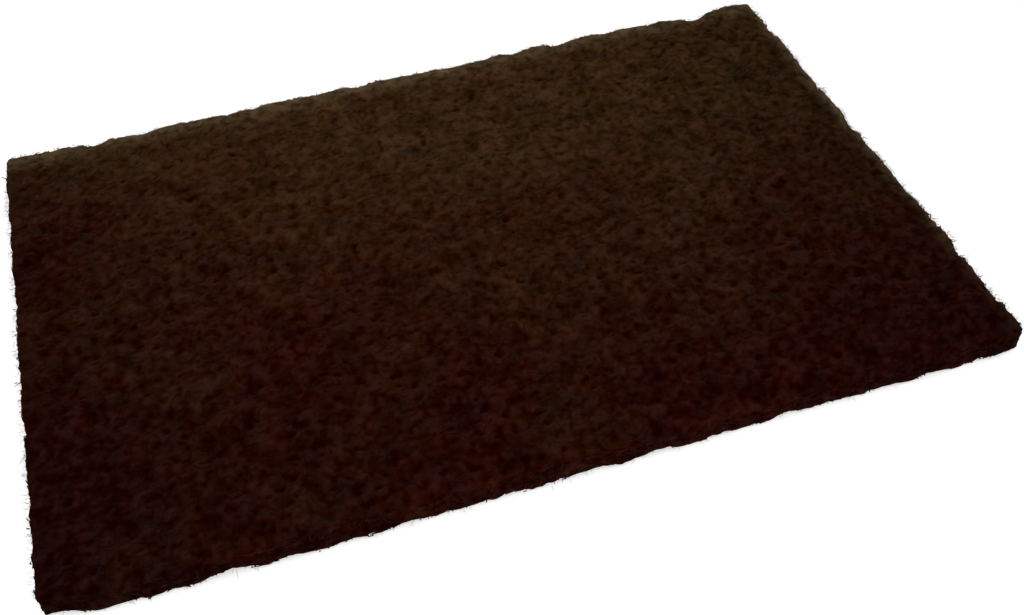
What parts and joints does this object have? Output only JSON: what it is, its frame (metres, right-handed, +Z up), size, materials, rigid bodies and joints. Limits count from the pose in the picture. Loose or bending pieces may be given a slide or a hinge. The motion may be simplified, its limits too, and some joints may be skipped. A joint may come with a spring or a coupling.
{
  "type": "nylon scouring pad",
  "caption": "Flat rectangular hand pad of lofted nylon fibre web, with ragged knife-cut edges and a pitted, wiry face on both sides.",
  "frame": {"origin": "middle of the face the pad lies on", "axes": "+X along the long side, +Y across the pad towards its far long edge, +Z up through the thickness"},
  "size_m": [0.2299, 0.153, 0.008],
  "materials": {
    "nylon_web": "matte"
  },
  "bodies": {
    "root": {"scouring_pad": "nylon_web"}
  },
  "joints": []
}
